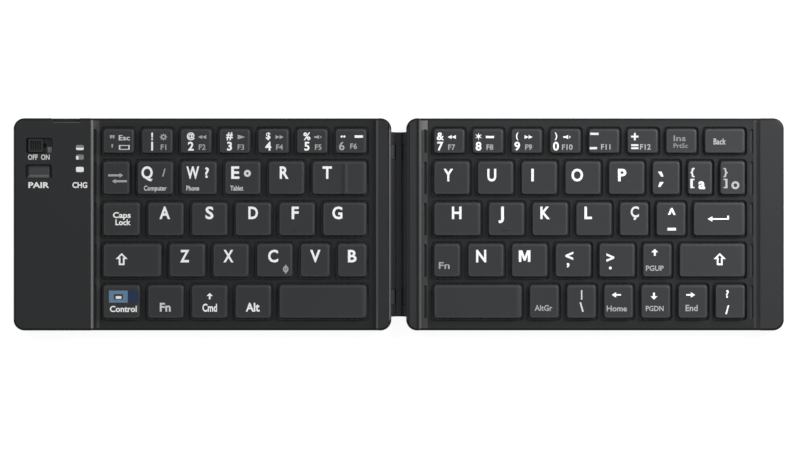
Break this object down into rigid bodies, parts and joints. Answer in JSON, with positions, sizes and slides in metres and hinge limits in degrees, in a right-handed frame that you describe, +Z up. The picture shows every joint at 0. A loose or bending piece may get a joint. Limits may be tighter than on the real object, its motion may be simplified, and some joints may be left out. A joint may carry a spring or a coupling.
{
  "type": "folding keyboard",
  "caption": "Slim folding keyboard: hinged halves close like a book on a narrow spine, over low scissor keys, with a sliding power switch, a pairing button and a charging port",
  "frame": {"origin": "on the table under the middle of the spine, with the keyboard open and flat", "axes": "+X from the left end to the right end, +Y towards the back edge with the number row, +Z up out of the keys"},
  "size_m": [0.312, 0.086, 0.0074],
  "materials": {
    "case": "moulded plastic with a fine matt grain",
    "keycap": "satin matt keycap plastic",
    "spine": "smooth dark plastic",
    "control": "satin dark plastic",
    "rubber": "soft rubber",
    "dome_rubber": "translucent silicone",
    "link_plastic": "natural acetal",
    "membrane_film": "polyester film with printed tracks",
    "flex_film": "amber polyimide film",
    "steel": "plain steel",
    "magnet": "nickel plate",
    "board": "green solder mask",
    "battery_foil": "laminated foil pouch",
    "port_metal": "tinned steel",
    "light_guide": "milky clear plastic"
  },
  "bodies": {
    "spine": {"spine_base": "spine", "spine_cover": "spine", "hinge_pins": "steel", "flex_cable": "flex_film"},
    "left_half": {"left_bottom_case": "case", "left_top_frame": "case", "left_support_plate": "steel", "left_membrane": "membrane_film", "left_domes": "dome_rubber", "left_scissors": "link_plastic", "left_screws": "steel", "left_feet": "rubber", "left_magnets": "magnet", "main_board": "board", "battery": "battery_foil", "charge_port": "port_metal", "indicator_lights": "light_guide"},
    "right_half": {"right_bottom_case": "case", "right_top_frame": "case", "right_support_plate": "steel", "right_membrane": "membrane_film", "right_domes": "dome_rubber", "right_scissors": "link_plastic", "right_screws": "steel", "right_feet": "rubber", "right_magnets": "magnet"},
    "power_switch": {"power_switch": "control"},
    "pair_button": {"pair_button": "control"},
    "key_q_body": {"key_q": "keycap"},
    "key_w_body": {"key_w": "keycap"},
    "key_e_body": {"key_e": "keycap"},
    "key_r_body": {"key_r": "keycap"},
    "key_t_body": {"key_t": "keycap"},
    "key_a_body": {"key_a": "keycap"},
    "key_s_body": {"key_s": "keycap"},
    "key_d_body": {"key_d": "keycap"},
    "key_f_body": {"key_f": "keycap"},
    "key_g_body": {"key_g": "keycap"},
    "key_z_body": {"key_z": "keycap"},
    "key_x_body": {"key_x": "keycap"},
    "key_c_body": {"key_c": "keycap"},
    "key_v_body": {"key_v": "keycap"},
    "key_b_body": {"key_b": "keycap"},
    "key_y_body": {"key_y": "keycap"},
    "key_u_body": {"key_u": "keycap"},
    "key_i_body": {"key_i": "keycap"},
    "key_o_body": {"key_o": "keycap"},
    "key_p_body": {"key_p": "keycap"},
    "key_h_body": {"key_h": "keycap"},
    "key_j_body": {"key_j": "keycap"},
    "key_k_body": {"key_k": "keycap"},
    "key_l_body": {"key_l": "keycap"},
    "key_n_body": {"key_n": "keycap"},
    "key_m_body": {"key_m": "keycap"},
    "left_number_keys_body": {"left_number_keys": "keycap"},
    "left_control_keys_body": {"left_control_keys": "keycap"},
    "left_space_key_body": {"left_space_key": "keycap"},
    "right_number_keys_body": {"right_number_keys": "keycap"},
    "right_control_keys_body": {"right_control_keys": "keycap"},
    "right_space_key_body": {"right_space_key": "keycap"}
  },
  "joints": [
    {"name": "left_fold", "type": "hinge", "parent": "spine", "child": "left_half", "pos_m": [-0.0035, 0, 0.0041], "axis": [0, 1, 0], "range_deg": [0, 90]},
    {"name": "right_fold", "type": "hinge", "parent": "spine", "child": "right_half", "pos_m": [0.0035, 0, 0.0041], "axis": [0, -1, 0], "range_deg": [0, 90]},
    {"name": "power_slide", "type": "slide", "parent": "left_half", "child": "power_switch", "axis": [1, 0, 0], "range_m": [0, 0.003]},
    {"name": "pair_press", "type": "slide", "parent": "left_half", "child": "pair_button", "axis": [0, 0, -1], "range_m": [0, 0.0005], "stiffness_N_per_m": 600, "springref_m": -0.0005},
    {"name": "key_q_press", "type": "slide", "parent": "left_half", "child": "key_q_body", "axis": [0, 0, -1], "range_m": [0, 0.0013], "stiffness_N_per_m": 250, "springref_m": -0.0008, "deforming": ["left_domes", "left_scissors"]},
    {"name": "key_w_press", "type": "slide", "parent": "left_half", "child": "key_w_body", "axis": [0, 0, -1], "range_m": [0, 0.0013], "stiffness_N_per_m": 250, "springref_m": -0.0008, "deforming": ["left_domes", "left_scissors"]},
    {"name": "key_e_press", "type": "slide", "parent": "left_half", "child": "key_e_body", "axis": [0, 0, -1], "range_m": [0, 0.0013], "stiffness_N_per_m": 250, "springref_m": -0.0008, "deforming": ["left_domes", "left_scissors"]},
    {"name": "key_r_press", "type": "slide", "parent": "left_half", "child": "key_r_body", "axis": [0, 0, -1], "range_m": [0, 0.0013], "stiffness_N_per_m": 250, "springref_m": -0.0008, "deforming": ["left_domes", "left_scissors"]},
    {"name": "key_t_press", "type": "slide", "parent": "left_half", "child": "key_t_body", "axis": [0, 0, -1], "range_m": [0, 0.0013], "stiffness_N_per_m": 250, "springref_m": -0.0008, "deforming": ["left_domes", "left_scissors"]},
    {"name": "key_a_press", "type": "slide", "parent": "left_half", "child": "key_a_body", "axis": [0, 0, -1], "range_m": [0, 0.0013], "stiffness_N_per_m": 250, "springref_m": -0.0008, "deforming": ["left_domes", "left_scissors"]},
    {"name": "key_s_press", "type": "slide", "parent": "left_half", "child": "key_s_body", "axis": [0, 0, -1], "range_m": [0, 0.0013], "stiffness_N_per_m": 250, "springref_m": -0.0008, "deforming": ["left_domes", "left_scissors"]},
    {"name": "key_d_press", "type": "slide", "parent": "left_half", "child": "key_d_body", "axis": [0, 0, -1], "range_m": [0, 0.0013], "stiffness_N_per_m": 250, "springref_m": -0.0008, "deforming": ["left_domes", "left_scissors"]},
    {"name": "key_f_press", "type": "slide", "parent": "left_half", "child": "key_f_body", "axis": [0, 0, -1], "range_m": [0, 0.0013], "stiffness_N_per_m": 250, "springref_m": -0.0008, "deforming": ["left_domes", "left_scissors"]},
    {"name": "key_g_press", "type": "slide", "parent": "left_half", "child": "key_g_body", "axis": [0, 0, -1], "range_m": [0, 0.0013], "stiffness_N_per_m": 250, "springref_m": -0.0008, "deforming": ["left_domes", "left_scissors"]},
    {"name": "key_z_press", "type": "slide", "parent": "left_half", "child": "key_z_body", "axis": [0, 0, -1], "range_m": [0, 0.0013], "stiffness_N_per_m": 250, "springref_m": -0.0008, "deforming": ["left_domes", "left_scissors"]},
    {"name": "key_x_press", "type": "slide", "parent": "left_half", "child": "key_x_body", "axis": [0, 0, -1], "range_m": [0, 0.0013], "stiffness_N_per_m": 250, "springref_m": -0.0008, "deforming": ["left_domes", "left_scissors"]},
    {"name": "key_c_press", "type": "slide", "parent": "left_half", "child": "key_c_body", "axis": [0, 0, -1], "range_m": [0, 0.0013], "stiffness_N_per_m": 250, "springref_m": -0.0008, "deforming": ["left_domes", "left_scissors"]},
    {"name": "key_v_press", "type": "slide", "parent": "left_half", "child": "key_v_body", "axis": [0, 0, -1], "range_m": [0, 0.0013], "stiffness_N_per_m": 250, "springref_m": -0.0008, "deforming": ["left_domes", "left_scissors"]},
    {"name": "key_b_press", "type": "slide", "parent": "left_half", "child": "key_b_body", "axis": [0, 0, -1], "range_m": [0, 0.0013], "stiffness_N_per_m": 250, "springref_m": -0.0008, "deforming": ["left_domes", "left_scissors"]},
    {"name": "key_y_press", "type": "slide", "parent": "right_half", "child": "key_y_body", "axis": [0, 0, -1], "range_m": [0, 0.0013], "stiffness_N_per_m": 250, "springref_m": -0.0008, "deforming": ["right_domes", "right_scissors"]},
    {"name": "key_u_press", "type": "slide", "parent": "right_half", "child": "key_u_body", "axis": [0, 0, -1], "range_m": [0, 0.0013], "stiffness_N_per_m": 250, "springref_m": -0.0008, "deforming": ["right_domes", "right_scissors"]},
    {"name": "key_i_press", "type": "slide", "parent": "right_half", "child": "key_i_body", "axis": [0, 0, -1], "range_m": [0, 0.0013], "stiffness_N_per_m": 250, "springref_m": -0.0008, "deforming": ["right_domes", "right_scissors"]},
    {"name": "key_o_press", "type": "slide", "parent": "right_half", "child": "key_o_body", "axis": [0, 0, -1], "range_m": [0, 0.0013], "stiffness_N_per_m": 250, "springref_m": -0.0008, "deforming": ["right_domes", "right_scissors"]},
    {"name": "key_p_press", "type": "slide", "parent": "right_half", "child": "key_p_body", "axis": [0, 0, -1], "range_m": [0, 0.0013], "stiffness_N_per_m": 250, "springref_m": -0.0008, "deforming": ["right_domes", "right_scissors"]},
    {"name": "key_h_press", "type": "slide", "parent": "right_half", "child": "key_h_body", "axis": [0, 0, -1], "range_m": [0, 0.0013], "stiffness_N_per_m": 250, "springref_m": -0.0008, "deforming": ["right_domes", "right_scissors"]},
    {"name": "key_j_press", "type": "slide", "parent": "right_half", "child": "key_j_body", "axis": [0, 0, -1], "range_m": [0, 0.0013], "stiffness_N_per_m": 250, "springref_m": -0.0008, "deforming": ["right_domes", "right_scissors"]},
    {"name": "key_k_press", "type": "slide", "parent": "right_half", "child": "key_k_body", "axis": [0, 0, -1], "range_m": [0, 0.0013], "stiffness_N_per_m": 250, "springref_m": -0.0008, "deforming": ["right_domes", "right_scissors"]},
    {"name": "key_l_press", "type": "slide", "parent": "right_half", "child": "key_l_body", "axis": [0, 0, -1], "range_m": [0, 0.0013], "stiffness_N_per_m": 250, "springref_m": -0.0008, "deforming": ["right_domes", "right_scissors"]},
    {"name": "key_n_press", "type": "slide", "parent": "right_half", "child": "key_n_body", "axis": [0, 0, -1], "range_m": [0, 0.0013], "stiffness_N_per_m": 250, "springref_m": -0.0008, "deforming": ["right_domes", "right_scissors"]},
    {"name": "key_m_press", "type": "slide", "parent": "right_half", "child": "key_m_body", "axis": [0, 0, -1], "range_m": [0, 0.0013], "stiffness_N_per_m": 250, "springref_m": -0.0008, "deforming": ["right_domes", "right_scissors"]},
    {"name": "left_number_keys_press", "type": "slide", "parent": "left_half", "child": "left_number_keys_body", "axis": [0, 0, -1], "range_m": [0, 0.0013], "stiffness_N_per_m": 1750, "springref_m": -0.0008, "deforming": ["left_domes", "left_scissors"]},
    {"name": "left_control_keys_press", "type": "slide", "parent": "left_half", "child": "left_control_keys_body", "axis": [0, 0, -1], "range_m": [0, 0.0013], "stiffness_N_per_m": 1750, "springref_m": -0.0008, "deforming": ["left_domes", "left_scissors"]},
    {"name": "left_space_key_press", "type": "slide", "parent": "left_half", "child": "left_space_key_body", "axis": [0, 0, -1], "range_m": [0, 0.0013], "stiffness_N_per_m": 250, "springref_m": -0.0008, "deforming": ["left_domes", "left_scissors"]},
    {"name": "right_number_keys_press", "type": "slide", "parent": "right_half", "child": "right_number_keys_body", "axis": [0, 0, -1], "range_m": [0, 0.0013], "stiffness_N_per_m": 2000, "springref_m": -0.0008, "deforming": ["right_domes", "right_scissors"]},
    {"name": "right_control_keys_press", "type": "slide", "parent": "right_half", "child": "right_control_keys_body", "axis": [0, 0, -1], "range_m": [0, 0.0013], "stiffness_N_per_m": 4250, "springref_m": -0.0008, "deforming": ["right_domes", "right_scissors"]},
    {"name": "right_space_key_press", "type": "slide", "parent": "right_half", "child": "right_space_key_body", "axis": [0, 0, -1], "range_m": [0, 0.0013], "stiffness_N_per_m": 250, "springref_m": -0.0008, "deforming": ["right_domes", "right_scissors"]}
  ]
}
